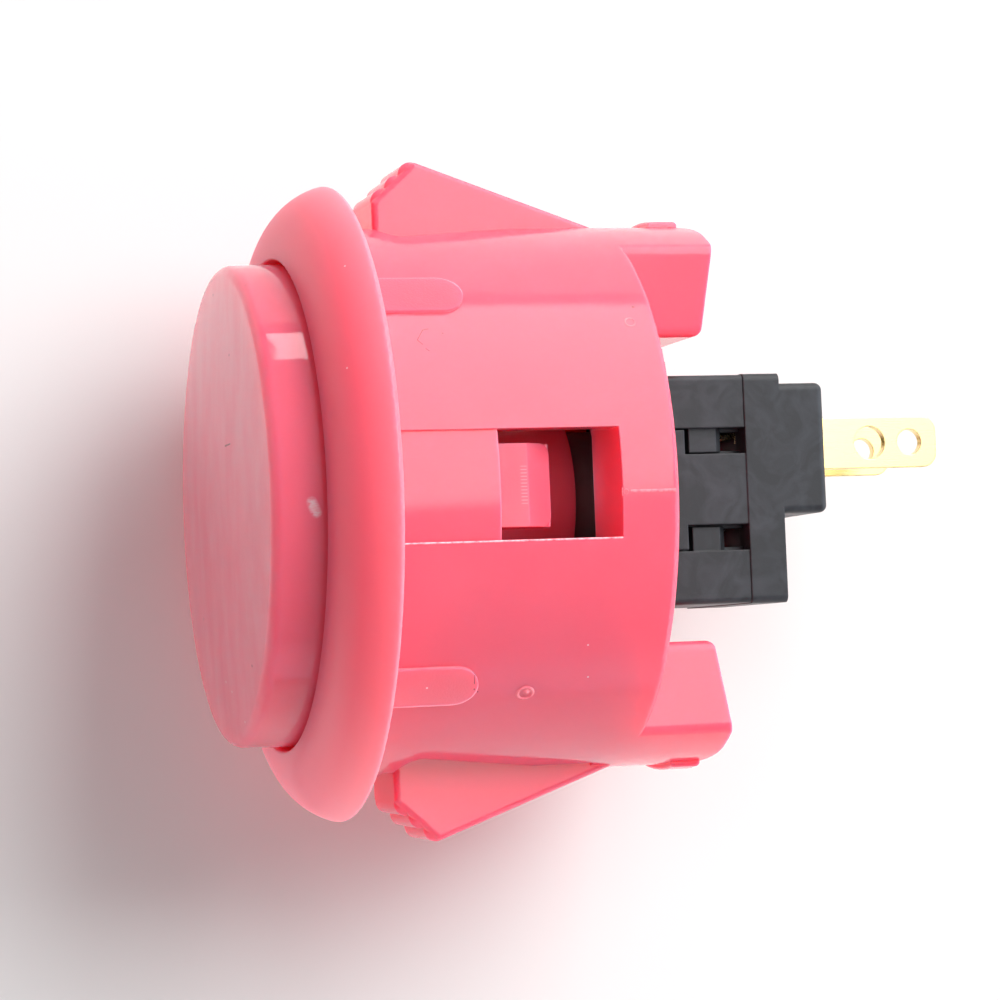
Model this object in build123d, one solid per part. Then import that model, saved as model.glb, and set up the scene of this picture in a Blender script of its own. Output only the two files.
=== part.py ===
from build123d import *
import math
import os

# Snap-in arcade push button, in millimetres. The origin is the centre of the bezel's seat on the panel, and
# +Z points out of the panel along the press axis. The snap arms lie at +X and -X, the windows at +Y and -Y.
# A depth is a distance below the panel face, so a depth d lies at z = -d.

# How far a cutter reaches past the face that it cuts
overrun = 1.0

# Housing: bezel and body
panel_hole_r = 15.0
panel_play = 0.25
body_wall = 1.67
bezel_r = 16.95
bezel_height = 3.05
bezel_edge_r = 0.25
bezel_side = 0.25
bezel_land = 3.0
bezel_lip_r = 0.12
rim_r = 0.35
floor_wall = 1.3
ledge_step = 1.76
ledge_chord = 9.85

# Housing: windows, their shallow strips and the centring pads
window_w = 5.6
window_top_depth = 5.48
strip_relief = 0.15
pad_angle = 42.0
pad_w = 2.5
pad_len = 4.85
pad_rise = 0.2

# Housing: snap arms over their tilted flats
arm_w = 5.0
arm_front_depth = 2.4
arm_shoulder_r = 16.0
arm_apex_r = 18.15
arm_apex_depth = 4.75
arm_root = 1.8
arm_edge_r = 0.3
arm_inset = 0.15
arm_slot = 0.8
tooth_count = 3
tooth_bulge = 0.25
tooth_inset = 0.12
flat_w = 13.0
flat_front_depth = 2.05
flat_drop = 1.1
flat_nose_r = 1.2
flat_rear_depth = 13.25

# Housing: release tabs behind the arms
tab_w = 13.7
tab_fan = 5.0
tab_inner = 8.1
tab_inner_len = 4.2
tab_outer_len = 5.2
tab_corner_r = 0.8
tab_edge_r = 0.6
tab_tip_r = 0.45
tab_wall = 1.5
ridge_rise = 0.3
ridge_edge_r = 0.2
ridge_len = 1.65
ridge_setback = 2.95

# Plunger
travel = 3.0
plunger_play = 0.23
cap_height = 6.1
cap_crown = 0.35
cap_edge_r = 0.6
cap_taper = 0.05
cap_wall = 1.6
skirt_wall = 1.4
skirt_depth = 1.65
hook_w = 4.2
hook_len = 3.0
hook_flat_len = 1.6
hook_reach = 0.95
hook_corner_r = 0.6
catch_gap = 0.05
bottom_play = 0.26
stem_r = 4.8
stem_wall = 1.6
stem_play = 0.4
stem_stop = 0.3
rib_count = 4
rib_t = 1.0
rib_h = 3.2

# Switch case
case_x = 12.3
case_y = 11.0
case_edge_r = 0.3
seat_step = 0.8
collar_wall = 1.1
collar_grip = 0.95
collar_play = 0.05
cover_h = 6.15
cover_top = 1.0
case_wall_x = 1.0
case_wall_y = 1.7
base_h = 2.05
base_proud = 0.05
base_floor = 0.8
base_edge_r = 0.4
block_x0 = -1.4
block_x1 = 5.65
block_h = 2.55

# Latches of the switch case
latch_depth = 1.0
latch_play = 0.1
tongue_w = 3.8
head_w = 6.4
head_h = 1.4
head_depth = 2.7
wedge_gap = 0.35
wedge_len = 1.9
wedge_sink = 0.35
wedge_bevel = 0.35
latch_hole_h = 1.1

# Actuator and return spring
push_gap = 0.05
actuator_r = 3.6
actuator_play = 0.1
head_edge = 0.3
flange_x = 8.8
flange_y = 7.2
flange_t = 1.0
flange_gap = 0.1
actuator_top = 2.4
spring_bore_r = 2.5
spring_r = 1.95
spring_wire_r = 0.2
spring_wire_sides = 6
spring_turns = 6
spring_seat = 0.05
post_r = 1.4
post_h = 1.5
nose_x0 = 2.9
nose_x1 = 4.3
nose_y0 = 0.5
nose_y1 = 1.6
nose_clear = 0.08

# Terminals and contacts
blade_w = 2.8
blade_t = 0.5
blade_x = 2.43
blade_y = 3.45
blade_len = 7.25
blade_corner_r = 0.8
blade_play = 0.04
near_hole_r = 0.9
near_hole_at = 3.3
end_hole_r = 0.7
end_hole_at = 5.65
arm_t = 0.25
contact_x0 = 2.9
contact_x1 = 4.9
arm_end = 3.7
arm_tail = 1.2
arm_sink = 0.2
arm_swing = 6.6
shelf_x0 = 2.6
shelf_end = 2.2
shelf_play = 0.1
rivet_at = 3.0
rivet_r = 0.55
rivet_h = 0.4
rivet_shank_r = 0.3
fixed_r = 0.75
fixed_h = 0.2
contact_clear = 0.05

# Sizes that follow from those above
body_r = panel_hole_r - panel_play
bore_r = body_r - body_wall
arm_root_depth = flat_rear_depth + arm_root
hook_top_depth = window_top_depth + catch_gap
hook_end_depth = hook_top_depth + hook_len
window_end_depth = hook_end_depth + travel + bottom_play
floor_top_depth = window_end_depth + ledge_step
body_depth = floor_top_depth + floor_wall
case_top_depth = body_depth + seat_step
seam_depth = case_top_depth + cover_h
base_end_depth = seam_depth + base_h
block_end_depth = base_end_depth + block_h
floor_depth = base_end_depth - base_floor
plunger_r = bore_r - plunger_play
stem_end_depth = case_top_depth - travel - stem_stop
cavity_x = case_x / 2 - case_wall_x
cavity_y = case_y / 2 - case_wall_y
actuator_top_depth = stem_end_depth + push_gap
flange_top_depth = case_top_depth + cover_top + flange_gap
flange_end_depth = flange_top_depth + flange_t
arm_top_depth = seam_depth + arm_sink
arm_under_depth = arm_top_depth + arm_t
pivot_y = arm_tail - blade_y - blade_t / 2
rivet_end_depth = arm_under_depth + rivet_h
swing_sin = math.sin(math.radians(arm_swing))
contact_gap = swing_sin * (rivet_at + rivet_r - pivot_y) + contact_clear
fixed_top_depth = rivet_end_depth + contact_gap
nose_end_depth = arm_top_depth + swing_sin * (nose_y0 - pivot_y) - nose_clear - travel


def block(x0, x1, y0, y1, depth0, depth1):
    """Box between two corners, with its height given by two depths."""
    size = (x1 - x0, y1 - y0, depth1 - depth0)
    return Pos((x0 + x1) / 2, (y0 + y1) / 2, -(depth0 + depth1) / 2) * Box(*size)


def disc(r, depth0, depth1, x=0.0, y=0.0):
    """Upright cylinder between two depths."""
    return Pos(x, y, -(depth0 + depth1) / 2) * Cylinder(r, depth1 - depth0)


def ring(outer_r, inner_r, depth0, depth1):
    """Upright tube between two depths."""
    return disc(outer_r, depth0, depth1) - disc(inner_r, depth0 - overrun, depth1 + overrun)


def turned(edges):
    """Solid turned about the press axis from a closed half section of radius against height."""
    return revolve(Plane.XZ * make_face(edges), Axis.Z)


def across_y(edges, width):
    """Prism of an X-Z section, as wide along Y as given and centred on it."""
    return extrude(Plane.XZ * make_face(edges), amount=width / 2, both=True)


def both_ends(part):
    """A piece at +X together with the same piece turned half round the press axis."""
    return [part, Rot(0, 0, 180) * part]


def shell():
    """Bezel dome, body wall and floor as one turned section, with the two ledges under the windows."""
    edge_x = bezel_r - bezel_edge_r
    lip_x = bore_r + bezel_lip_r
    lip_z = bezel_height - bezel_lip_r
    dome = Bezier(
        (bezel_r, bezel_edge_r),
        (bezel_r, bezel_edge_r + bezel_side),
        (lip_x + bezel_land, bezel_height),
        (lip_x, bezel_height),
    )
    section = [
        Line((0, -body_depth), (body_r - rim_r, -body_depth)),
        CenterArc((body_r - rim_r, rim_r - body_depth), rim_r, -90, 90),
        Line((body_r, rim_r - body_depth), (body_r, 0)),
        Line((body_r, 0), (edge_x, 0)),
        CenterArc((edge_x, bezel_edge_r), bezel_edge_r, -90, 90),
        dome,
        CenterArc((lip_x, lip_z), bezel_lip_r, 90, 90),
        Line((bore_r, lip_z), (bore_r, -floor_top_depth)),
        Line((bore_r, -floor_top_depth), (0, -floor_top_depth)),
        Line((0, -floor_top_depth), (0, -body_depth)),
    ]
    ledges = disc(bore_r + body_wall / 2, window_end_depth, floor_top_depth + floor_wall / 2)
    ledges -= block(-body_r, body_r, -ledge_chord, ledge_chord, window_end_depth - overrun, body_depth)
    return turned(section) + ledges


def windows():
    """Cutters at both sides: the window through the wall and the shallow strip up to the bezel."""
    half = window_w / 2
    opening = block(-half, half, -body_r - overrun, body_r + overrun, window_top_depth, window_end_depth)
    opening -= disc(ledge_chord, window_top_depth - overrun, window_end_depth + overrun)
    strip = ring(body_r + overrun, body_r - strip_relief, 0, window_top_depth)
    strip &= block(-half, half, -body_r - overrun, body_r + overrun, 0, window_top_depth)
    return [opening, strip]


def pads():
    """Four centring pads beside the windows, slightly proud of the body, with a rounded lower end."""
    band = ring(body_r + pad_rise, body_r - body_wall / 2, 0, pad_len)
    half = pad_w / 2
    outline = Rectangle(pad_w, pad_len - half, align=(Align.CENTER, Align.MAX))
    outline += Pos(0, half - pad_len) * Circle(half)
    bar = extrude(Plane.XZ * outline, amount=body_r + pad_rise + overrun)
    angles = [side + lean for side in (0, 180) for lean in (-pad_angle, pad_angle)]
    return [band & (Rot(0, 0, angle) * bar) for angle in angles]


def arm_flat():
    """Cutter for the tilted flat under the snap arm, deepest near the bezel and running out at the rear."""
    floor_x = body_r - flat_drop
    low_depth = flat_front_depth + flat_nose_r
    outer_x = arm_apex_r + overrun
    nose = CenterArc((floor_x + flat_nose_r, -low_depth), flat_nose_r, 90, 90)
    section = [
        nose,
        Line((floor_x, -low_depth), (body_r, -flat_rear_depth)),
        Line((body_r, -flat_rear_depth), (outer_x, -flat_rear_depth)),
        Line((outer_x, -flat_rear_depth), (outer_x, -flat_front_depth)),
        Line((outer_x, -flat_front_depth), (floor_x + flat_nose_r, -flat_front_depth)),
    ]
    return across_y(section, flat_w)


def arm_opening():
    """Cutter for the slots beside and in front of the snap arm, through the body wall."""
    half = arm_w / 2 + arm_slot
    inner_x = bore_r - body_wall
    return block(inner_x, body_r + overrun, -half, half, arm_front_depth - arm_slot, flat_rear_depth)


def arm_teeth():
    """Rounded bars in a row up the front of the snap arm's wedge, each bulging a little out of it."""
    front = Line((arm_shoulder_r, -arm_front_depth), (arm_apex_r, -arm_apex_depth))
    half = front.length / tooth_count / 2
    tooth_r = (half**2 + tooth_bulge**2) / (2 * tooth_bulge)
    inward = (front % 0).rotate(Axis.Z, -90) * (tooth_r - tooth_bulge)
    bar = Rot(90, 0, 0) * Cylinder(tooth_r, arm_w - 2 * tooth_inset)
    bar = chamfer(bar.edges().filter_by(GeomType.CIRCLE), arm_edge_r)
    middles = [front @ ((i + 0.5) / tooth_count) + inward for i in range(tooth_count)]
    return [Pos(middle.X, 0, middle.Y) * bar for middle in middles]


def snap_arm():
    """Springy strip of the wall with its wedge: a toothed front up to the apex, then a long lead-in slope."""
    inner_x = bore_r + arm_inset
    outline = Polyline(
        (inner_x, -arm_front_depth),
        (arm_shoulder_r, -arm_front_depth),
        (arm_apex_r, -arm_apex_depth),
        (body_r - rim_r, -arm_root_depth),
        (inner_x, -arm_root_depth),
        close=True,
    )
    wedge = across_y(outline, arm_w)
    hidden = wedge.faces().sort_by(Axis.X)[0].edges() + wedge.faces().sort_by(Axis.Z)[0].edges()
    return fillet(wedge.edges() - hidden, arm_edge_r) + arm_teeth()


def release_tab():
    """Cored grip behind the snap arm, fanning outwards, with a slanted end and a ridge on its outside."""
    root = -body_depth + floor_wall / 2
    inner_end = -body_depth - tab_inner_len
    outer_end = -body_depth - tab_outer_len
    side_view = make_face(
        Polyline((tab_inner, root), (body_r, root), (body_r, outer_end), (tab_inner, inner_end), close=True)
    )
    tips = side_view.vertices().sort_by(Axis.Y)[:2].sort_by(Axis.X)
    side_view = fillet(tips[1], tab_corner_r)
    side_view = fillet(side_view.vertices().sort_by(Axis.X)[:2].sort_by(Axis.Y)[0], tab_tip_r)
    half = tab_w / 2
    outer_half = half + (body_r - tab_inner) * math.tan(math.radians(tab_fan))
    near = [(tab_inner, -half), (body_r, -outer_half)]
    far = [(body_r, outer_half), (tab_inner, half)]
    plan = Circle(body_r) & make_face(Polyline(*near, *far, close=True))
    core_depth = body_depth + tab_wall / 2
    core = Pos(0, 0, -core_depth) * extrude(offset(plan, -tab_wall), amount=-tab_outer_len)
    plan = fillet(plan.vertices(), tab_edge_r)
    tab = extrude(Plane.XZ * side_view, amount=tab_w, both=True)
    tab &= extrude(plan, amount=-body_depth - tab_outer_len)
    tab -= core
    ridge_depth = body_depth + ridge_setback
    ridge = ring(body_r + ridge_rise, body_r - tab_wall / 2, ridge_depth, ridge_depth + ridge_len)
    ridge &= block(tab_inner, bezel_r, -arm_w / 2, arm_w / 2, ridge_depth, ridge_depth + ridge_len)
    crest = ridge.faces().filter_by(GeomType.CYLINDER).sort_by(Axis.X)[-1]
    return tab + fillet(crest.edges(), ridge_edge_r)


def switch_collar():
    """Rectangular collar under the floor that the switch is pushed into."""
    half_x = case_x / 2 + collar_play + collar_wall
    half_y = case_y / 2 + collar_play + collar_wall
    top = body_depth - floor_wall / 2
    return block(-half_x, half_x, -half_y, half_y, top, case_top_depth + collar_grip)


def switch_pocket():
    """Cutters for the switch's seat in the collar and for the stem's hole through the floor."""
    half_x = case_x / 2 + collar_play
    half_y = case_y / 2 + collar_play
    seat = block(-half_x, half_x, -half_y, half_y, case_top_depth, case_top_depth + collar_grip + overrun)
    hole = disc(stem_r + stem_play, floor_top_depth - overrun, case_top_depth + overrun)
    return [seat, hole]


def make_housing():
    """The whole moulded housing."""
    housing = shell()
    housing -= both_ends(arm_flat())
    housing -= both_ends(arm_opening())
    housing -= windows()
    housing += pads()
    housing += both_ends(snap_arm())
    housing += both_ends(release_tab())
    housing += switch_collar()
    housing -= switch_pocket()
    return housing


def leg_gaps():
    """Cutter that leaves only the two hook legs below the end of the skirt."""
    half = hook_w / 2
    reach = plunger_r + overrun
    legs = block(-half, half, -reach, reach, skirt_depth, hook_end_depth + overrun)
    return disc(reach, skirt_depth, hook_end_depth + overrun) - legs


def hook():
    """Hook on the leg at -Y: a flat catch that holds the plunger in, then a ramp for fitting it."""
    root = plunger_r - skirt_wall / 2
    outer = plunger_r + hook_reach
    outline = Polyline(
        (-root, -hook_top_depth),
        (-outer, -hook_top_depth),
        (-outer, -hook_top_depth - hook_flat_len),
        (-plunger_r, -hook_end_depth),
        (-root, -hook_end_depth),
        close=True,
    )
    prism = extrude(Plane.YZ * make_face(outline), amount=hook_w / 2, both=True)
    tip = prism.edges().filter_by(Axis.Y).group_by(Axis.Z)[0]
    return fillet(tip, hook_corner_r)


def make_plunger():
    """Cap, skirt, hook legs and stem in one moulding, with ribs under the cap."""
    top_r = plunger_r - cap_taper
    edge_z = cap_height - cap_crown - cap_edge_r
    under_z = cap_height - cap_crown - cap_wall
    inner_r = plunger_r - skirt_wall
    face_r = top_r - cap_edge_r
    crown_r = (face_r**2 + cap_crown**2) / (2 * cap_crown)
    crown_turn = math.degrees(math.asin(face_r / crown_r))
    section = [
        Line((plunger_r, -hook_end_depth), (plunger_r, bezel_height)),
        Line((plunger_r, bezel_height), (top_r, edge_z)),
        CenterArc((face_r, edge_z), cap_edge_r, 0, 90),
        CenterArc((0, cap_height - crown_r), crown_r, 90 - crown_turn, crown_turn),
        Line((0, cap_height), (0, under_z)),
        Line((0, under_z), (inner_r, under_z)),
        Line((inner_r, under_z), (inner_r, -hook_end_depth)),
        Line((inner_r, -hook_end_depth), (plunger_r, -hook_end_depth)),
    ]
    plunger = turned(section) - leg_gaps()
    plunger += [hook(), Rot(0, 0, 180) * hook()]
    plunger += ring(stem_r, stem_r - stem_wall, -under_z - cap_wall / 2, stem_end_depth)
    spoke_x = (stem_r - stem_wall / 2, inner_r + skirt_wall / 2)
    spoke = block(*spoke_x, -rib_t / 2, rib_t / 2, -under_z - cap_wall / 2, rib_h - under_z)
    turn = 360 / rib_count
    plunger += [Rot(0, 0, turn * (i + 0.5)) * spoke for i in range(rib_count)]
    return plunger


def latch_channel(side):
    """Cutter for the channel that takes a T-latch, on one side of the switch cover."""
    half = head_w / 2 + latch_play
    face = case_y / 2
    top = case_top_depth + head_depth - head_h - latch_play
    span = sorted((side * (face - latch_depth), side * (face + overrun)))
    return block(-half, half, *span, top, seam_depth + overrun)


def latch_wedges(side):
    """The two catches beside the tongue, which hold the latch's head."""
    top = case_top_depth + head_depth + wedge_gap
    root_y = case_y / 2 - latch_depth - case_wall_y / 4
    face_y = case_y / 2 - wedge_sink
    outline = Polyline(
        (side * root_y, -top),
        (side * face_y, -top),
        (side * face_y, -top - wedge_len + wedge_bevel),
        (side * (face_y - wedge_bevel), -top - wedge_len),
        (side * root_y, -top - wedge_len),
        close=True,
    )
    inner = tongue_w / 2 + latch_play
    width = (head_w - tongue_w) / 2
    prism = extrude(Plane.YZ * make_face(outline), amount=width / 2, both=True)
    return [Pos(x_side * (inner + width / 2), 0, 0) * prism for x_side in (-1, 1)]


def latch_holes(side):
    """Cutters for the openings through the cover's wall behind the catches."""
    inner = tongue_w / 2 + 2 * latch_play
    outer = head_w / 2 - latch_play
    span = sorted((side * (cavity_y - overrun), side * (case_y / 2 + overrun)))
    depths = (seam_depth - latch_hole_h, seam_depth + overrun)
    return [block(*sorted((i * inner, i * outer)), *span, *depths) for i in (-1, 1)]


def make_switch_cover():
    """Upper half of the switch's case, open below, with the actuator's hole and the latch channels."""
    cover = block(-case_x / 2, case_x / 2, -case_y / 2, case_y / 2, case_top_depth, seam_depth)
    cover = fillet(cover.edges().filter_by(Axis.Z), case_edge_r)
    ceiling = case_top_depth + cover_top
    cover -= block(-cavity_x, cavity_x, -cavity_y, cavity_y, ceiling, seam_depth + overrun)
    cover -= disc(actuator_r + actuator_play, case_top_depth - overrun, ceiling + overrun)
    for side in (-1, 1):
        cover -= latch_channel(side)
        cover -= latch_holes(side)
        cover += latch_wedges(side)
    return cover


def t_latch(side):
    """Tongue and head of one T-latch, standing up from the base along the cover."""
    face = side * (case_y / 2)
    inner = side * (case_y / 2 - latch_depth + latch_play)
    span = sorted((face, inner))
    head_end = case_top_depth + head_depth
    tongue = block(-tongue_w / 2, tongue_w / 2, *span, head_end - head_h, seam_depth + base_h / 2)
    return tongue + block(-head_w / 2, head_w / 2, *span, head_end - head_h, head_end)


def blade_slots():
    """Cutters for the two terminals through the base, and for the open terminal's shelf."""
    half_w = blade_w / 2 + blade_play
    half_t = blade_t / 2 + blade_play
    span = (blade_x - half_w, blade_x + half_w)
    depths = (floor_depth - overrun, block_end_depth + overrun)
    slots = [block(*span, y - half_t, y + half_t, *depths) for y in (-blade_y, blade_y)]
    shelf_bottom = fixed_top_depth + fixed_h + blade_t + blade_play
    shelf_y = (shelf_end - shelf_play, blade_y + half_t)
    shelf = block(shelf_x0 - shelf_play, cavity_x, *shelf_y, floor_depth - overrun, shelf_bottom)
    return [*slots, shelf]


def make_switch_base():
    """Lower half of the switch's case: flange, terminal block, spring post and the two T-latches."""
    half_x = case_x / 2 + base_proud
    half_y = case_y / 2 + base_proud
    flange = block(-half_x, half_x, -half_y, half_y, seam_depth, base_end_depth)
    flange = fillet(flange.edges().filter_by(Axis.Z), base_edge_r)
    block_top = base_end_depth - base_floor / 2
    terminal_block = block(block_x0, block_x1, -half_y, half_y, block_top, block_end_depth)
    rear = terminal_block.faces().sort_by(Axis.Z)[0]
    terminal_block = fillet(rear.edges() + terminal_block.edges().filter_by(Axis.Z), base_edge_r)
    base = flange + terminal_block
    well_y = blade_y + blade_t
    base -= block(-cavity_x, cavity_x, -well_y, well_y, seam_depth - overrun, floor_depth)
    base += disc(post_r, floor_depth - post_h, floor_depth + base_floor / 2)
    base += [t_latch(-1), t_latch(1)]
    base -= blade_slots()
    return base


def make_actuator():
    """Push piece of the switch: head, flange that keeps it in, spring bore, and nose for the contact arm."""
    actuator = disc(actuator_r, actuator_top_depth, flange_end_depth)
    actuator = chamfer(actuator.edges().group_by(Axis.Z)[-1], head_edge)
    flange_depths = (flange_top_depth, flange_end_depth)
    actuator += block(-flange_x / 2, flange_x / 2, -flange_y / 2, flange_y / 2, *flange_depths)
    actuator += block(nose_x0, nose_x1, nose_y0, nose_y1, flange_end_depth - flange_t / 2, nose_end_depth)
    actuator -= disc(spring_bore_r, actuator_top_depth + actuator_top, flange_end_depth + overrun)
    return actuator


def make_return_spring():
    """Coil between the actuator's bore and the floor of the base, its fine wire drawn with flat sides."""
    top_depth = actuator_top_depth + actuator_top + spring_seat + spring_wire_r
    low_depth = floor_depth - spring_seat - spring_wire_r
    height = low_depth - top_depth
    path = Pos(0, 0, -low_depth) * Helix(height / spring_turns, height, spring_r)
    start = Plane(origin=path @ 0, z_dir=path % 0)
    wire = RegularPolygon(spring_wire_r, spring_wire_sides)
    return sweep(start * wire, path=path, is_frenet=True)


def blade(top_depth):
    """Flat terminal blade with its two holes, from its tip up to a given depth, centred on y = 0."""
    tip = block_end_depth + blade_len
    plate = block(blade_x - blade_w / 2, blade_x + blade_w / 2, -blade_t / 2, blade_t / 2, top_depth, tip)
    corners = plate.edges().filter_by(Axis.Y).group_by(Axis.Z)[0]
    plate = fillet(corners, blade_corner_r)
    for r, at in ((near_hole_r, near_hole_at), (end_hole_r, end_hole_at)):
        hole = Pos(blade_x, 0, -block_end_depth - at) * Rot(90, 0, 0) * Cylinder(r, 2 * blade_t)
        plate -= hole
    return plate


def make_common_terminal():
    """Blade at -Y, bent over at the top into the seat that the contact arm rocks on."""
    terminal = Pos(0, -blade_y, 0) * blade(arm_under_depth)
    outer_y = -blade_y - blade_t / 2
    seat_end = arm_under_depth + blade_t
    return terminal + block(shelf_x0, contact_x1, outer_y, pivot_y, arm_under_depth, seat_end)


def make_open_terminal():
    """Blade at +Y, bent over at the top into the shelf that carries the fixed contact."""
    shelf_top = fixed_top_depth + fixed_h
    terminal = Pos(0, blade_y, 0) * blade(shelf_top)
    outer_y = blade_y + blade_t / 2
    return terminal + block(shelf_x0, contact_x1, shelf_end, outer_y, shelf_top, shelf_top + blade_t)


def make_contact_arm():
    """Contact strip that rocks on the common terminal's edge, with a hole for its rivet."""
    tail_y = pivot_y - arm_tail + blade_t / 4
    arm = block(contact_x0, contact_x1, tail_y, arm_end, arm_top_depth, arm_under_depth)
    middle = (contact_x0 + contact_x1) / 2
    return arm - disc(rivet_shank_r, arm_top_depth - overrun, arm_under_depth + overrun, middle, rivet_at)


def make_moving_contact():
    """Rivet under the contact arm's free end, its shank through the strip."""
    middle = (contact_x0 + contact_x1) / 2
    head = disc(rivet_r, arm_under_depth, rivet_end_depth, middle, rivet_at)
    return head + disc(rivet_shank_r, arm_top_depth, rivet_end_depth, middle, rivet_at)


def make_fixed_contact():
    """Contact button on the open terminal's shelf."""
    middle = (contact_x0 + contact_x1) / 2
    return disc(fixed_r, fixed_top_depth, fixed_top_depth + fixed_h, middle, rivet_at)


nodes = {
    "housing": make_housing,
    "plunger": make_plunger,
    "switch_cover": make_switch_cover,
    "switch_base": make_switch_base,
    "actuator": make_actuator,
    "return_spring": make_return_spring,
    "common_terminal": make_common_terminal,
    "open_terminal": make_open_terminal,
    "contact_arm": make_contact_arm,
    "moving_contact": make_moving_contact,
    "fixed_contact": make_fixed_contact,
}

os.makedirs("parts", exist_ok=True)
for name, make in nodes.items():
    export_step(make(), f"parts/{name}.step")
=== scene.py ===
import math

import bmesh
import bpy
import numpy as np
from mathutils import Matrix, Vector


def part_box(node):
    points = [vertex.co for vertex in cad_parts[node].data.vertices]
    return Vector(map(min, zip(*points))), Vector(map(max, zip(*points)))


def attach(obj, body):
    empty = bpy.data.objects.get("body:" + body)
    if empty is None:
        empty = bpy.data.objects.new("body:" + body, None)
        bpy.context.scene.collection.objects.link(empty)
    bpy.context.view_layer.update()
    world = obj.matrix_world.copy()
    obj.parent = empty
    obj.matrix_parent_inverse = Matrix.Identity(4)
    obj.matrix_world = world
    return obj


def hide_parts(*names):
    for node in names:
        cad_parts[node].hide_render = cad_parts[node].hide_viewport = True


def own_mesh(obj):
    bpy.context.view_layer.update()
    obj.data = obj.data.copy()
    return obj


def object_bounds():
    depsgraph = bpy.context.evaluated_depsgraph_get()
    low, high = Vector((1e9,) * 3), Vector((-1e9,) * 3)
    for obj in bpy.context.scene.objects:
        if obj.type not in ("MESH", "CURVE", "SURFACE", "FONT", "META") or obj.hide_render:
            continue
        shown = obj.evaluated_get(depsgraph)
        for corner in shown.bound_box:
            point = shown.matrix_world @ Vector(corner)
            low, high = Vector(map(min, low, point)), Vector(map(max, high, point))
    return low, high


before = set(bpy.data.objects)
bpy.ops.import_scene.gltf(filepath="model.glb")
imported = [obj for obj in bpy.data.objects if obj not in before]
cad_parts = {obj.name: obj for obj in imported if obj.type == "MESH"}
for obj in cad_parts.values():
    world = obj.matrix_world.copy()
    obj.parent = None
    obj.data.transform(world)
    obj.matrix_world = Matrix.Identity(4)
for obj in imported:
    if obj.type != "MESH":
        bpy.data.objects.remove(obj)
cad_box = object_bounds()

# Housing: one injection moulding in pink plastic, a little translucent, so that thin walls and cut edges
# glow red. Bezel, body, snap arms, release tabs and switch collar leave the mould together. The bezel in
# front of the panel is satin, and the body behind it is polished.
mm = 0.001
body_radius, pad_rise = 14.75 * mm, 0.2 * mm
pad_radius = body_radius + pad_rise
pink = (1.0, 0.11, 0.175, 1.0)
pink_pale = (1.0, 0.13, 0.2, 1.0)
# The scar colour also paints highlights, and the dirt colour also paints shade.
pink_scar_and_highlight = (1.0, 0.62, 0.67, 1.0)
pink_dirt_and_shade = (0.2, 0.02, 0.03, 1.0)
pink_glow = (1.0, 0.15, 0.19)
pink_depth = 4.5 * mm
plastic_ior = 1.5
bezel_roughness, body_roughness, grain_roughness = 0.5, 0.11, 0.4
cloud_size, peel_size, grit_size = 5 * mm, 0.6 * mm, 0.09 * mm
cloud_detail = 3.0
peel_bump, grit_bump, pink_bump_height = 0.02, 0.35, 0.05 * mm
pink_edge, edge_samples = 0.07 * mm, 6
panel_fade = 0.3 * mm
line_core = 0.2


def add(tree, kind, settings=None, **sockets):
    """A shader node of one kind, with its settings and then its inputs. An input is given by name, or by
    number as in _0: a socket is linked, and anything else is a value."""
    made = tree.nodes.new(kind)
    for key, value in (settings or {}).items():
        setattr(made, key, value)
    for key, value in sockets.items():
        place = made.inputs[int(key[1:])] if key[0] == "_" else made.inputs[key.replace("_", " ")]
        if isinstance(value, bpy.types.NodeSocket):
            tree.links.new(value, place)
        else:
            place.default_value = value
    return made


def in_order(values):
    """Values for the first inputs of a node, by number."""
    return {f"_{number}": value for number, value in enumerate(values)}


def work(tree, operation, *values):
    """The result of one sum of the Math node on sockets or numbers, kept between 0 and 1."""
    settings = {"operation": operation, "use_clamp": True}
    return add(tree, "ShaderNodeMath", settings, **in_order(values)).outputs[0]


def vector_work(tree, operation, *values, **named):
    """The result of one sum of the Vector Math node: a number for a length, a distance or a dot product,
    and otherwise a vector."""
    made = add(tree, "ShaderNodeVectorMath", {"operation": operation}, **in_order(values), **named)
    return made.outputs["Value" if operation in ("LENGTH", "DISTANCE", "DOT_PRODUCT") else "Vector"]


def fade(tree, value, start, end, first=0.0, last=1.0):
    """A value that runs from first at start to last at end, and stays level outside of them."""
    limits = {"From_Min": start, "From_Max": end, "To_Min": first, "To_Max": last}
    return add(tree, "ShaderNodeMapRange", Value=value, **limits).outputs[0]


def noise(tree, coordinates, sizes, detail=2.0):
    """Noise between 0 and 1, whose grains have one size, or one each along x, y and z."""
    shrink = [1.0 / size for size in np.broadcast_to(sizes, 3)]
    stretch = add(tree, "ShaderNodeMapping", Vector=coordinates, Scale=shrink)
    made = add(tree, "ShaderNodeTexNoise", Vector=stretch.outputs["Vector"], Scale=1.0, Detail=detail)
    return made.outputs["Fac"]


def blended(tree, share, first, second):
    """A colour that turns from the first into the second as the share goes from 0 to 1."""
    made = add(tree, "ShaderNodeMix", {"data_type": "RGBA"}, Factor=share, A=first, B=second)
    return made.outputs["Result"]


def near_line(tree, coordinates, start, end, width):
    """1 on the line from start to end, falling to 0 at half the width, by the distance to its nearest
    point: the place along the line is the offset from start, projected on the line and held between its
    ends."""
    start, along = Vector(start) * mm, (Vector(end) - Vector(start)) * mm
    offset = vector_work(tree, "SUBTRACT", coordinates, start)
    reached = vector_work(tree, "DOT_PRODUCT", offset, along / along.length_squared)
    nearest = vector_work(tree, "SCALE", along, Scale=work(tree, "ADD", reached, 0.0))
    apart = vector_work(tree, "DISTANCE", offset, nearest)
    return fade(tree, apart, line_core * width * mm, 0.5 * width * mm, 1.0, 0.0)


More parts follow.
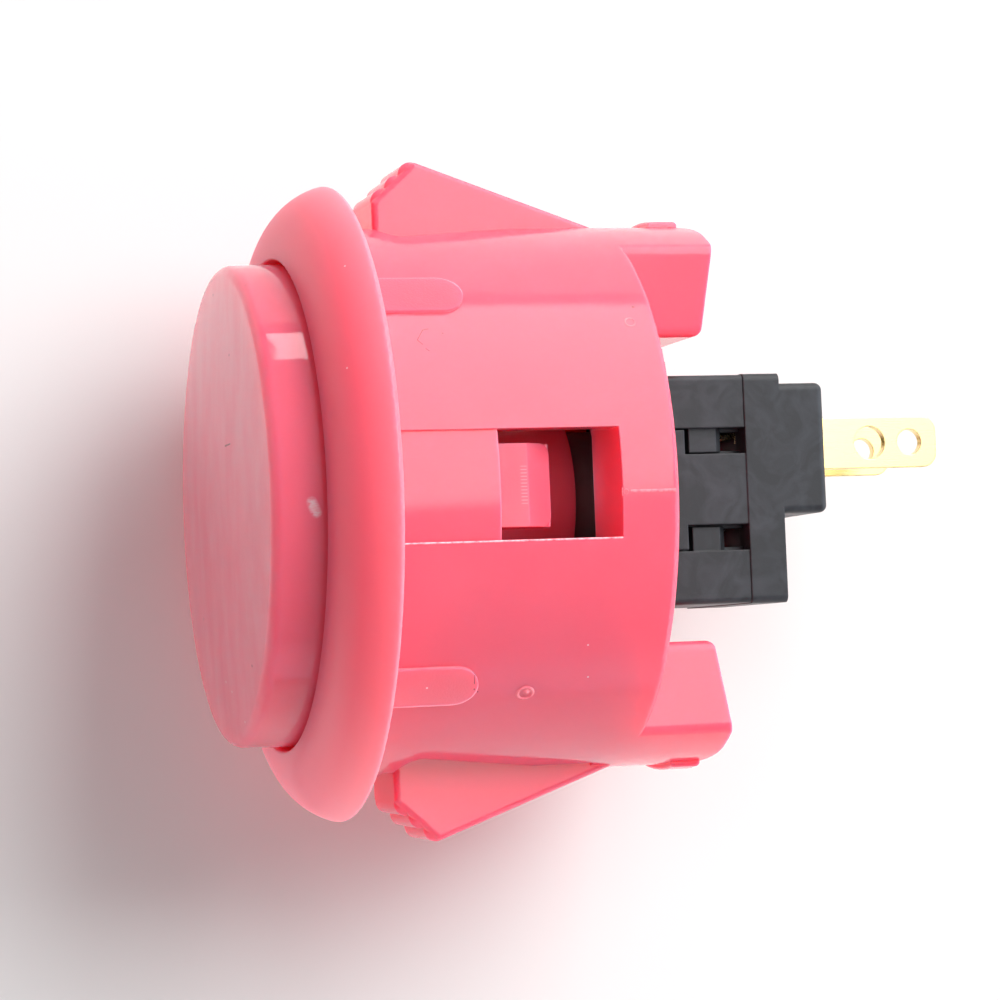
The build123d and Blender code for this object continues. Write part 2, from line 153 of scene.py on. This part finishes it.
def near_point(tree, coordinates, place, inner, outer):
    """1 within the inner distance of a place, falling to 0 at the outer one."""
    apart = vector_work(tree, "DISTANCE", coordinates, Vector(place) * mm)
    return fade(tree, apart, inner * mm, outer * mm, 1.0, 0.0)


def any_of(tree, masks):
    """The largest of several masks."""
    whole = masks[0]
    for mask in masks[1:]:
        whole = work(tree, "MAXIMUM", whole, mask)
    return whole


def all_of(tree, masks):
    """The product of several masks."""
    whole = masks[-1]
    for mask in masks[-2::-1]:
        whole = work(tree, "MULTIPLY", mask, whole)
    return whole


def soft_edges(tree, radius):
    """The normal of a surface whose sharp edges are rounded by a small radius."""
    return add(tree, "ShaderNodeBevel", {"samples": edge_samples}, Radius=radius).outputs["Normal"]


def bumped(tree, normal, pattern, strength, height):
    """A normal that is tilted by the slopes of a pattern of some height."""
    made = add(tree, "ShaderNodeBump", Strength=strength, Distance=height, Height=pattern, Normal=normal)
    return made.outputs["Normal"]


def new_material(name):
    """An empty node material with its output, and the object coordinates that its patterns read."""
    material = bpy.data.materials.new(name)
    material.use_nodes = True
    tree = material.node_tree
    tree.nodes.clear()
    coordinates = tree.nodes.new("ShaderNodeTexCoord").outputs["Object"]
    output = tree.nodes.new("ShaderNodeOutputMaterial")
    return material, tree, coordinates, output.inputs["Surface"]


def shade(tree, surface, **sockets):
    """The shader of a finish, with its sockets set by name, linked to the material's surface."""
    shader = add(tree, "ShaderNodeBsdfPrincipled", **sockets)
    tree.links.new(shader.outputs["BSDF"], surface)


def pink_plastic(name, front, rear, marks_and_painted_light):
    """Pink moulded plastic: cloudy colour, a fine orange-peel bump, softened edges, and red light within.
    It has one roughness in front of the panel and another behind it. A function of each piece gives three
    masks: its pale scar marks and painted highlights, its dark specks, crack lines and painted shade, and
    its grain."""
    material, tree, coordinates, surface = new_material(name)
    # The pale mask carries scars and painted highlights, and the dark mask dirt and painted shade.
    scars_and_highlights, dirt_and_painted_shade, grain = marks_and_painted_light(tree, coordinates)
    clouds = noise(tree, coordinates, cloud_size, cloud_detail)
    scarred_and_highlighted = blended(tree, scars_and_highlights, blended(tree, clouds, pink, pink_pale), pink_scar_and_highlight)
    height = add(tree, "ShaderNodeSeparateXYZ", Vector=coordinates).outputs["Z"]
    polish = fade(tree, height, -panel_fade, 0.0, rear, front)
    peel = noise(tree, coordinates, peel_size)
    grit = noise(tree, coordinates, grit_size)
    peeled = bumped(tree, soft_edges(tree, pink_edge), peel, peel_bump, pink_bump_height)
    gritty = bumped(tree, peeled, grit, work(tree, "MULTIPLY", grain, grit_bump), pink_bump_height)
    shade(
        tree,
        surface,
        Base_Color=blended(tree, dirt_and_painted_shade, scarred_and_highlighted, pink_dirt_and_shade),
        Normal=gritty,
        Roughness=work(tree, "MAXIMUM", polish, fade(tree, grain, 0.0, 1.0, 0.0, grain_roughness)),
        IOR=plastic_ior,
        Subsurface_Weight=1.0,
        Subsurface_Radius=pink_glow,
        Subsurface_Scale=pink_depth,
    )
    return material


def housing_marks_and_painted_light(tree, coordinates):
    """Pale specks, a painted highlight that turns the bezel paler towards its thin rim, a fine cracked
    bracket beside the upper pad, dark specks, painted shade in two short dark lines at the lower pad's rear
    end, and a grain on the pads, whose low sides are a little paler with a painted highlight. Marks are
    placed in millimetres."""
    pale_size = (0.02, 0.07)
    pale_places = (
        (-9.96, -11.15, -2.17),
        (-8.12, -12.31, -10.37),
        (-9.74, -11.07, -10.68),
        (5.91, -14.66, 2.14),
        (11.3, -11.94, 1.42),
    )
    bracket = ((8.04, -12.36, -2.64), (7.99, -12.39, -2.35), (7.45, -12.72, -1.97), (7.22, -12.86, -2.2))
    crack_width = 0.055
    bracket_tail = ((6.99, -12.99, -2.33), (6.87, -13.05, -2.48), crack_width)
    # Painted shade: two short dark lines at the rear end of the lower pad, where its end step is shaded.
    pad_end_painted_shade = ((-9.35, -11.66, -4.55), (-9.85, -11.25, -4.62), 0.05)
    pad_end_painted_shade_tick = ((-10.11, -11.01, -4.66), (-10.27, -10.6, -4.95), 0.09)
    dark_specks = (((7.8, -12.52, -3.35), 0.02, 0.05), ((9.15, -11.56, -13.77), 0.04, 0.1))
    pad_core, pad_band = 0.02 * mm, 0.08 * mm
    wall_core, wall_band = 0.015 * mm, 0.04 * mm
    seat_fade = 0.1 * mm
    arms_end, pads_start = 8.0 * mm, 8.4 * mm
    pad_side_highlight_share = 0.2
    rim_start, rim_end, rim_highlight_share = 0.2 * mm, 1.9 * mm, 0.16

    specks = [near_point(tree, coordinates, place, *pale_size) for place in pale_places]
    lines = [(*ends, crack_width) for ends in zip(bracket, bracket[1:])]
    lines += [bracket_tail, pad_end_painted_shade, pad_end_painted_shade_tick]
    cracks_and_painted_shade = [near_line(tree, coordinates, *line) for line in lines]
    cracks_and_painted_shade += [near_point(tree, coordinates, *speck) for speck in dark_specks]

    in_plane = vector_work(tree, "MULTIPLY", coordinates, (1.0, 1.0, 0.0))
    reach = vector_work(tree, "LENGTH", in_plane)
    up_to_pads = fade(tree, reach, pad_radius - pad_band, pad_radius - pad_core)
    past_pads = fade(tree, reach, pad_radius + pad_core, pad_radius + pad_band)
    past_wall = fade(tree, reach, body_radius + wall_core, body_radius + wall_band)
    place = add(tree, "ShaderNodeSeparateXYZ", Vector=coordinates)
    behind_panel = fade(tree, place.outputs["Z"], -seat_fade, 0.0, 1.0, 0.0)
    off_arms = fade(tree, work(tree, "ABSOLUTE", place.outputs["Y"]), arms_end, pads_start)
    near_pads = work(tree, "MULTIPLY", behind_panel, off_arms)
    pads = work(tree, "MULTIPLY", work(tree, "SUBTRACT", up_to_pads, past_pads), near_pads)
    pad_sides = work(tree, "MULTIPLY", work(tree, "SUBTRACT", past_wall, up_to_pads), near_pads)
    # Painted highlight: the pads' low sides are made paler for the light that their steps catch.
    painted_pad_side_highlight = work(tree, "MULTIPLY", pad_sides, pad_side_highlight_share)
    # Painted highlight: the bezel is made paler towards its rear rim, for the light that falls there.
    rim = fade(tree, place.outputs["Z"], rim_start, rim_end, rim_highlight_share, 0.0)
    painted_rim_highlight = work(tree, "SUBTRACT", rim, behind_panel)
    return any_of(tree, [*specks, painted_pad_side_highlight, painted_rim_highlight]), any_of(tree, cracks_and_painted_shade), pads


def dress(node, material):
    """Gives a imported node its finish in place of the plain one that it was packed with."""
    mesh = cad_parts[node].data
    mesh.materials.clear()
    mesh.materials.append(material)


dress("housing", pink_plastic("housing_pink", bezel_roughness, body_roughness, housing_marks_and_painted_light))

# Gate scar, ejector ring and nick: small raised marks that the mould left on the body's side. Each is a
# square patch that stays just under the wall, and comes out of it where a ring, or the torn stub beside its
# middle, is lifted by a bell-shaped rise.
buried = 0.012 * mm
patch_reach, patch_points = 1.6, 49
rim_spread, stub_spread = 0.17, 0.3
stub_across, stub_down = 0.2, 0.15
gate_turn, gate_height = math.atan2(-10.43, 10.43), -7.49 * mm
gate_ring, gate_rim, gate_stub = 0.4 * mm, 0.06 * mm, 0.12 * mm
pin_turn, pin_height = math.atan2(8.31, 12.19), -13.37 * mm
pin_ring, pin_rim = 0.26 * mm, 0.026 * mm
nick_turn, nick_height = math.atan2(-0.53, 14.74), -11.95 * mm
nick_ring, nick_rim = 0.13 * mm, 0.035 * mm
mark_pink = (1.0, 0.22, 0.28, 1.0)
skin_cloud_size, skin_cloud_span, skin_roughness = 0.25 * mm, (0.3, 0.6), 0.2


def pink_skin(name, colour):
    """Pink plastic too thin to hold light within it: cloudy between the wall's colour and one of its
    own."""
    material, tree, coordinates, surface = new_material(name)
    clouds = fade(tree, noise(tree, coordinates, skin_cloud_size), *skin_cloud_span)
    cloudy = blended(tree, clouds, pink_pale, colour)
    shade(tree, surface, Base_Color=cloudy, Roughness=skin_roughness, IOR=plastic_ior)
    return material


def surface_mesh(name, points, material, body):
    """A new piece from a grid of points: neighbours in both directions share a face, and the piece rides a
    body."""
    rows, columns = points.shape[:2]
    index = np.arange(rows * columns).reshape(rows, columns)
    faces = np.stack([index[:-1, :-1], index[1:, :-1], index[1:, 1:], index[:-1, 1:]], -1).reshape(-1, 4)
    mesh = bpy.data.meshes.new(name)
    mesh.from_pydata(points.reshape(-1, 3), [], faces)
    mesh.polygons.foreach_set("use_smooth", np.ones(len(mesh.polygons), bool))
    mesh.materials.append(material)
    piece = bpy.data.objects.new(name, mesh)
    bpy.context.scene.collection.objects.link(piece)
    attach(piece, body)
    return piece


def on_body(across, height, lift):
    """Points at a distance across the body's front line, a height along its axis, and a lift off its round
    side."""
    turn = across / body_radius
    radius = body_radius + lift
    return np.stack([radius * np.sin(turn), -radius * np.cos(turn), height + 0.0 * turn], -1)


mark_skin = pink_skin("mark_skin", mark_pink)


def ring_mark(name, turn, height, ring, rim, stub=0.0):
    """Lift by distance from the middle: a bell on the ring's radius and, for a torn gate, another bell
    beside the middle."""
    steps = np.linspace(-patch_reach, patch_reach, patch_points) * ring
    u, v = np.meshgrid(steps, steps, indexing="ij")
    off_ring = np.hypot(u, v) - ring
    off_stub = np.hypot(u - stub_across * ring, v + stub_down * ring)
    ring_lift = rim * np.exp(-((off_ring / (rim_spread * ring)) ** 2))
    stub_lift = stub * np.exp(-((off_stub / (stub_spread * ring)) ** 2))
    points = on_body(turn * body_radius + u, height + v, ring_lift + stub_lift - buried)
    surface_mesh(name, points, mark_skin, "housing")


ring_mark("gate_scar", gate_turn, gate_height, gate_ring, gate_rim, gate_stub)
ring_mark("ejector_ring", pin_turn, pin_height, pin_ring, pin_rim)
ring_mark("window_nick", nick_turn, nick_height, nick_ring, nick_rim)

# Window flash and parting line: thin ridges of pink plastic that the mould's halves squeezed out, on both
# sides of the body. One runs along the lower edge of the window and its relief strip, and one from the
# window to the rear rim. The flash's pale colour is a painted highlight along that edge.
window_half, window_end, body_end = 2.8 * mm, -11.79 * mm, -14.6 * mm
flash_start, flash_width, flash_rise = -0.02 * mm, 0.055 * mm, 0.06 * mm
flash_off_edge = 0.4 * flash_width
flash_across = -body_radius * math.asin(window_half / body_radius) - flash_off_edge
flash = (flash_across, flash_start, window_end, flash_width, flash_rise)
parting_across, parting_gap, parting_width, parting_rise = -0.5 * mm, 0.4 * mm, 0.1 * mm, 0.022 * mm
parting = (parting_across, window_end - parting_gap, body_end, parting_width, parting_rise)
ridge_steps, ridge_side_steps, ridge_taper = 240, 9, 0.3 * mm
ridge_mean = 0.62
ridge_waves = ((0.2, 5.1, 0.0), (0.13, 11.7, 1.0), (0.1, 23.3, 2.0))
# Painted highlight: the flash is given a pale colour for the light that its edge catches.
flash_highlight_pink = (1.0, 0.48, 0.55, 1.0)
flash_highlight_skin = pink_skin("flash_highlight_skin", flash_highlight_pink)


def ridge(name, across, start, end, width, rise, half_turn, skin):
    """A rounded crest carried along the body's axis: its height falls with the square of the way from the
    middle to the foot, and wanders along its length by a sum of three waves, each with a share, a pace per
    millimetre and a start."""
    steps, side_steps = np.linspace(start, end, ridge_steps), np.linspace(-1.0, 1.0, ridge_side_steps)
    along, side = np.meshgrid(steps, side_steps, indexing="ij")
    waves = (share * np.sin(along / mm * pace + begin) for share, pace, begin in ridge_waves)
    wander = sum(waves, ridge_mean)
    ends = np.clip(np.minimum(along - end, start - along) / ridge_taper, 0.0, 1.0)
    lift = rise * wander * np.sqrt(ends) * (1.0 - side**2) - buried * side**2
    points = on_body(across + width * side, along, lift)
    points[..., :2] *= half_turn
    surface_mesh(name, points, skin, "housing")


for side_name, half_turn in (("near", 1.0), ("far", -1.0)):
    ridge(f"window_flash_{side_name}", *flash, half_turn, flash_highlight_skin)
    ridge(f"parting_line_{side_name}", *parting, half_turn, mark_skin)

# Plunger: cap, skirt, hook legs and stem in one moulding of the same plastic. It slides in the housing's
# bore, and its two hooks catch under the upper edges of the windows. Thumbs have rubbed its face and
# scuffed its side, and the face's paleness is partly a painted sheen.
cap_roughness, hook_roughness = 0.04, 0.25
plunger_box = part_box("plunger")
cap_dome, cap_face_fade = 0.7 * mm, 0.3 * mm
cap_face = plunger_box[1].z - cap_dome
hook_depth, hook_face_fade = 0.2 * mm, 0.1 * mm
hook_face = plunger_box[1].y - hook_depth
comb_start, comb_start_fade = -6.7 * mm, 0.1 * mm
comb_end, comb_end_fade = -7.05 * mm, 0.05 * mm
comb_half, comb_core, comb_pitch = 1.05 * mm, 0.85, 0.17 * mm
one_band = 0.314  # scale at which a wave texture has one band to the unit of length


def plunger_marks_and_painted_sheen(tree, coordinates):
    """A scuff of pale streaks on the side, a comb of short ticks across the hooks, specks and a dull rub on
    the face that is partly a painted sheen, and a fine grain on the hooks in front of the comb. Marks are
    placed in millimetres."""
    scuff_line = ((-1.05, -12.79, 3.55), (-0.55, -12.82, 3.75), 0.65)
    scratch = ((3.06, -2.65, 6.06), (3.07, -3.95, 6.04), 0.12)
    dark_places = (
        (3.06, -3.0, 6.05),
        (11.41, 0.61, 5.79),
        (7.71, -3.94, 5.92),
        (-8.49, -6.59, 5.82),
        (-5.81, 6.0, 5.93),
    )
    pale_places = ((-9.27, 0.31, 5.9), (-9.8, -1.15, 5.87), (-11.37, -3.85, 5.76))
    dark_size, pale_size = (0.03, 0.1), (0.02, 0.08)
    streak_sizes, streak_span = (0.06 * mm, 0.06 * mm, 0.35 * mm), (0.3, 0.65, 0.45, 0.85)
    torn_size, torn_span = 0.3 * mm, (0.25, 0.5)
    rub_sizes, rub_span, rub_detail = (6 * mm, 1.6 * mm, 1.6 * mm), (0.35, 0.75, 0.15, 0.4), 5.0
    rub_sheen_sizes, rub_sheen_span = (4 * mm, 1.8 * mm, 1.8 * mm), (0.3, 0.75, 0.05, 0.17)
    tick_span = (0.55, 0.95, 0.0, 0.24)
    hook_grain, hook_grain_fade = 0.5, 0.2 * mm

    streaks = fade(tree, noise(tree, coordinates, streak_sizes), *streak_span)
    torn = fade(tree, noise(tree, coordinates, torn_size), *torn_span)
    scuff = all_of(tree, [streaks, torn, near_line(tree, coordinates, *scuff_line)])

    place = add(tree, "ShaderNodeSeparateXYZ", Vector=coordinates)
    x, y, z = (place.outputs[axis] for axis in "XYZ")
    on_hook = fade(tree, work(tree, "ABSOLUTE", y), hook_face, hook_face + hook_face_fade)
    near_middle = fade(tree, work(tree, "ABSOLUTE", x), comb_core * comb_half, comb_half, 1.0, 0.0)
    across = work(tree, "MULTIPLY", on_hook, near_middle)
    past_start = fade(tree, z, comb_start, comb_start - comb_start_fade)
    before_end = fade(tree, z, comb_end - comb_end_fade, comb_end)
    bands = add(tree, "ShaderNodeTexWave", Vector=coordinates, Scale=one_band / comb_pitch)
    ticks = fade(tree, bands.outputs["Fac"], *tick_span)
    comb = all_of(tree, [ticks, across, past_start, before_end])

    dark_specks = [near_point(tree, coordinates, speck, *dark_size) for speck in dark_places]
    dark_specks.append(near_line(tree, coordinates, *scratch))
    pale_specks = [near_point(tree, coordinates, speck, *pale_size) for speck in pale_places]

    on_face = fade(tree, z, cap_face, cap_face + cap_face_fade)
    rubbed = fade(tree, noise(tree, coordinates, rub_sizes, rub_detail), *rub_span)
    # Partly painted sheen: the face is made paler, more in long streaks, for rubbing and for the pale sheen
    # it shows.
    rub_sheen_pattern = fade(tree, noise(tree, coordinates, rub_sheen_sizes, rub_detail), *rub_sheen_span)
    pale_rub_and_painted_sheen = work(tree, "MULTIPLY", on_face, rub_sheen_pattern)
    in_front = fade(tree, z, comb_start, comb_start + hook_grain_fade, 0.0, hook_grain)
    before_comb = work(tree, "MULTIPLY", across, in_front)
    grain = work(tree, "MAXIMUM", work(tree, "MULTIPLY", on_face, rubbed), before_comb)
    return any_of(tree, [scuff, comb, pale_rub_and_painted_sheen, *pale_specks]), any_of(tree, dark_specks), grain


dress("plunger", pink_plastic("plunger_pink", cap_roughness, hook_roughness, plunger_marks_and_painted_sheen))

# Switch: a matte black case in two halves, clipped together by T-shaped latches, with the round actuator
# that the plunger's stem pushes. The plastic is mottled with pale flow marks.
black = (0.012, 0.013, 0.014, 1.0)
black_pale = (0.035, 0.038, 0.043, 1.0)
actuator_grey = (0.08, 0.09, 0.096, 1.0)
actuator_pale = (0.1, 0.112, 0.12, 1.0)
flow_size, flow_detail, flow_warp, flow_span = 1.6 * mm, 6.0, 1.4, (0.4, 0.75)
black_grain, black_edge = 0.12 * mm, 0.12 * mm
black_bump, black_bump_height = 0.12, 0.03 * mm
black_roughness, mottled_roughness = 0.42, 0.55


def black_plastic(name, dark, pale):
    """Matte black plastic: flow marks from a warped noise lift the colour, and a fine grain roughens it."""
    material, tree, coordinates, surface = new_material(name)
    warped = {"Scale": 1.0 / flow_size, "Detail": flow_detail, "Distortion": flow_warp}
    flow = add(tree, "ShaderNodeTexNoise", Vector=coordinates, **warped)
    mottle = fade(tree, flow.outputs["Fac"], *flow_span)
    grain = noise(tree, coordinates, black_grain)
    shade(
        tree,
        surface,
        Base_Color=blended(tree, mottle, dark, pale),
        Normal=bumped(tree, soft_edges(tree, black_edge), grain, black_bump, black_bump_height),
        Roughness=fade(tree, mottle, 0.0, 1.0, black_roughness, mottled_roughness),
        IOR=plastic_ior,
    )
    return material


for node in ("switch_cover", "switch_base"):
    dress(node, black_plastic(node + "_black", black, black_pale))
dress("actuator", black_plastic("actuator_black", actuator_grey, actuator_pale))

# Terminals and contacts: stamped strips with a thin gilt plating, pushed into the base from below, and the
# silvery rivets inside the case, where the contact arm meets the open terminal.
gilt, gilt_roughness = (1.0, 0.79, 0.36, 1.0), 0.25
silver, silver_roughness = (0.82, 0.81, 0.78, 1.0), 0.2
rolling_sizes, rolling_detail = (0.1 * mm, 0.1 * mm, 2.0 * mm), 3.0
smoothest, roughest = 0.8, 1.3
metal_edge = 0.1 * mm


def plated_metal(name, colour, roughness):
    """Plated metal: polished, with fine rolling marks that change its roughness along the strip."""
    material, tree, coordinates, surface = new_material(name)
    marks = noise(tree, coordinates, rolling_sizes, rolling_detail)
    shade(
        tree,
        surface,
        Base_Color=colour,
        Metallic=1.0,
        Normal=soft_edges(tree, metal_edge),
        Roughness=fade(tree, marks, 0.0, 1.0, roughness * smoothest, roughness * roughest),
    )
    return material


for node in ("common_terminal", "open_terminal", "contact_arm"):
    dress(node, plated_metal(node + "_gilt", gilt, gilt_roughness))
for node in ("moving_contact", "fixed_contact"):
    dress(node, plated_metal(node + "_silver", silver, silver_roughness))

# Return spring: drawn steel wire wound in a coil, from the floor of the switch to the underside of its
# actuator. The press shortens it towards the floor; here it stands as a new piece that rides the housing,
# and the packed one is hidden.
coil_radius, wire_radius, coil_turns = 1.95 * mm, 0.2 * mm, 6
coil_foot, coil_top = -23.0 * mm, -14.85 * mm
coil_steps, wire_steps = 289, 13
weld_distance = 1e-7
steel, steel_roughness = (0.55, 0.55, 0.57, 1.0), 0.3


def coil(name, material):
    """A round wire along a helix: the wire's middle goes round the coil's radius while it climbs evenly,
    each ring of the wire spreads outwards and upwards from that middle, and the two ends shrink to a point
    that closes them."""
    climb_steps, wire_turn = np.linspace(0.0, 1.0, coil_steps), np.linspace(0.0, 2 * math.pi, wire_steps)
    climb, around = np.meshgrid(climb_steps, wire_turn, indexing="ij")
    count = np.arange(coil_steps)
    swell = wire_radius * (np.minimum(count, count[::-1]) > 0)[:, None]
    turned = 2 * math.pi * coil_turns * climb
    reach = coil_radius + swell * np.cos(around)
    middle = coil_foot + wire_radius + (coil_top - coil_foot - 2 * wire_radius) * climb
    points = np.stack([reach * np.cos(turned), reach * np.sin(turned), middle + swell * np.sin(around)], -1)
    piece = surface_mesh(name, points, material, "housing")
    shape = bmesh.new()
    shape.from_mesh(piece.data)
    bmesh.ops.remove_doubles(shape, verts=shape.verts, dist=weld_distance)
    bmesh.ops.recalc_face_normals(shape, faces=shape.faces)
    shape.to_mesh(piece.data)
    shape.free()
    return piece


spring_steel = plated_metal("spring_wire", steel, steel_roughness)
dress("return_spring", spring_steel)
spring = coil("coil_spring", spring_steel)
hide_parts("return_spring")
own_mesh(spring)

# Pale sheet that the button lies on, just behind the bezel's far rim. It takes the shadow, throws light
# back at the button and shows in its gloss. Its rear is clear, so that the button can be looked at from
# behind.
sheet_half, sheet_gap, sheet_tilt = 0.6, 0.2 * mm, math.radians(6.0)
sheet_pale = (0.77, 0.77, 0.77, 1.0)
far_y = cad_box[1].y + sheet_gap


def mixed(tree, share, first, second):
    """A shader that turns from the first into the second as the share goes from 0 to 1."""
    return add(tree, "ShaderNodeMixShader", **in_order((share, first, second))).outputs[0]


corners = [(x * sheet_half, z * sheet_half) for x, z in ((-1, -1), (1, -1), (1, 1), (-1, 1))]
sheet_mesh = bpy.data.meshes.new("pale_sheet")
sheet_mesh.from_pydata([(x, far_y + z * math.tan(sheet_tilt), z) for x, z in corners], [], [(0, 1, 2, 3)])
sheet = bpy.data.objects.new("pale_sheet", sheet_mesh)
bpy.context.scene.collection.objects.link(sheet)
sheet.visible_transmission = False
sheet.visible_shadow = False
sheet_material, sheet_tree, _, sheet_surface = new_material("pale_sheet")
from_behind = sheet_tree.nodes.new("ShaderNodeNewGeometry").outputs["Backfacing"]
pale = add(sheet_tree, "ShaderNodeBsdfDiffuse", Color=sheet_pale).outputs[0]
clear = add(sheet_tree, "ShaderNodeBsdfTransparent").outputs[0]
sheet_tree.links.new(mixed(sheet_tree, from_behind, pale, clear), sheet_surface)
sheet_mesh.materials.append(sheet_material)

# Light: a white room, bright on the far side and dim on the near one, with one broad bright window in its
# upper right quarter, as the button lies. A lamp gives the window's own light, a thin tube glints in the
# plunger's side, and a faint lamp in the bore stands for the light that the thin pink walls let in.
white, cool_white = (1.0, 1.0, 1.0, 1.0), (0.88, 0.96, 1.15, 1.0)
to_front, to_rear = Vector((0.0, 0.0, 1.0)), Vector((0.0, 0.0, -1.0))
to_bright_side = Vector((-0.46, 0.87, -0.1)).normalized()
to_open_side = Vector((-0.38, 0.8, -0.46)).normalized()
window_lower_edge = Vector((1.0, -0.324, 0.928)).normalized()
window_upper_edge = Vector((-0.087, -0.996, 0.0))
window_front, window_soft = -0.19, 0.02
window_strength, window_sheen = 1.6, 3.9
room_dim, room_front, room_bright = 0.36, 0.48, 2.1
mirror_dim, mirror_bright = 0.5, 1.0
open_span, front_span, rear_span, bright_span = (0.0, 0.5), (0.2, 0.7), (0.5, 0.75), (0.1, 0.3)
world = bpy.data.worlds.new("white_room")
bpy.context.scene.world = world
world.use_nodes = True
room_tree = world.node_tree
room_tree.nodes.clear()
ray = room_tree.nodes.new("ShaderNodeLightPath").outputs
outlook = room_tree.nodes.new("ShaderNodeTexCoord").outputs["Generated"]


def towards(direction, start, end, first=0.0, last=1.0):
    """A value that runs from first to last as the outlook turns towards a direction: start and end are how
    much of the outlook points along it."""
    along = vector_work(room_tree, "DOT_PRODUCT", outlook, direction)
    return fade(room_tree, along, start, end, first, last)


def brighter(first, second):
    """The larger of two strengths, which may be above 1."""
    made = add(room_tree, "ShaderNodeMath", {"operation": "MAXIMUM"}, **in_order((first, second)))
    return made.outputs[0]


def backdrop(colour, strength):
    """A part of the room that shines in one colour."""
    return add(room_tree, "ShaderNodeBackground", Color=colour, Strength=strength).outputs[0]


past_lower_edge = towards(window_lower_edge, -window_soft, window_soft)
below_upper_edge = towards(window_upper_edge, -window_soft, window_soft)
behind_front_edge = towards(to_front, window_front + window_soft, window_front - window_soft)
within_edges = work(room_tree, "MULTIPLY", past_lower_edge, below_upper_edge)
in_window = work(room_tree, "MULTIPLY", within_edges, behind_front_edge)
from_open = towards(to_open_side, *open_span, room_dim, room_bright)
from_front = towards(to_front, *front_span, room_dim, room_front)
from_rear = towards(to_rear, *rear_span, room_dim, room_bright)
from_far = towards(to_bright_side, *bright_span, mirror_dim, mirror_bright)
window_shine = fade(room_tree, ray["Is Glossy Ray"], 0.0, 1.0, window_strength, window_sheen)
spread = backdrop(white, brighter(from_open, from_front))
mirrored = backdrop(cool_white, brighter(from_far, from_rear))
room = mixed(room_tree, ray["Is Glossy Ray"], spread, mirrored)
lit_room = mixed(room_tree, in_window, room, backdrop(white, window_shine))
seen = work(room_tree, "MAXIMUM", ray["Is Camera Ray"], ray["Is Transmission Ray"])
whole_room = mixed(room_tree, seen, lit_room, backdrop(white, 1.0))
room_output = room_tree.nodes.new("ShaderNodeOutputWorld")
room_tree.links.new(whole_room, room_output.inputs["Surface"])


def soft_window(name, direction, distance, width, height, power):
    """A lamp at a distance from the button's middle in one direction, facing it, its height along the press
    axis."""
    lamp = bpy.data.lights.new(name, "AREA")
    lamp.shape = "RECTANGLE"
    lamp.size = width
    lamp.size_y = height
    lamp.energy = power
    lamp_object = bpy.data.objects.new(name, lamp)
    facing = Vector(direction).normalized()
    lamp_object.location = facing * distance
    lamp_object.rotation_euler = facing.to_track_quat("Z", "Y").to_euler()
    bpy.context.scene.collection.objects.link(lamp_object)
    return lamp_object


to_main, main_distance, main_size, main_power = (0.47, -0.76, -0.45), 0.5, 0.36, 3.2
main_window = soft_window("main_window", to_main, main_distance, main_size, main_size, main_power)
main_window.visible_glossy = False
to_tube, tube_distance, tube_power = (0.9576, -0.238, -0.1626), 0.509, 0.0145
tube_length, tube_thickness = 0.14, 0.0055
soft_window("ceiling_tube", to_tube, tube_distance, tube_length, tube_thickness, tube_power)
glow_colour, glow_power, glow_radius = (1.0, 0.9, 0.9), 0.00018, 1.5 * mm
glow_place = (0.0, -9.3 * mm, -9.8 * mm)
glow_lamp = bpy.data.lights.new("light_within", "POINT")
glow_lamp.color = glow_colour
glow_lamp.energy = glow_power
glow_lamp.shadow_soft_size = glow_radius
light_within = bpy.data.objects.new("light_within", glow_lamp)
light_within.location = glow_place
light_within.visible_camera = False
light_within.visible_glossy = False
bpy.context.scene.collection.objects.link(light_within)

# Camera at the angle of the photograph: the button lies on its side, its press axis towards the left. Its
# place is given by the point that it looks at, a distance and two angles, and it is rolled about its own
# line of sight.
camera_aim = Vector((0.0, 0.0, -0.00951))
camera_distance = 0.1741
camera_azimuth = math.radians(-3.03)
camera_elevation = math.radians(15.69)
camera_roll = math.radians(91.49)
sensor_width, focal_share, nearest_seen = 36.0, 3.2, 0.01
camera_data = bpy.data.cameras.new("camera")
camera_data.sensor_width = sensor_width
camera_data.lens = focal_share * sensor_width
camera_data.clip_start = nearest_seen
camera = bpy.data.objects.new("camera", camera_data)
level = math.cos(camera_elevation)
sideways, towards_front = math.sin(camera_azimuth) * level, math.cos(camera_azimuth) * level
back = Vector((sideways, -towards_front, math.sin(camera_elevation)))
turn = back.to_track_quat("Z", "Y").to_matrix().to_4x4() @ Matrix.Rotation(-camera_roll, 4, "Z")
camera.matrix_world = Matrix.Translation(camera_aim + back * camera_distance) @ turn
bpy.context.scene.collection.objects.link(camera)
bpy.context.scene.camera = camera
bpy.context.scene.view_settings.view_transform = "Standard"
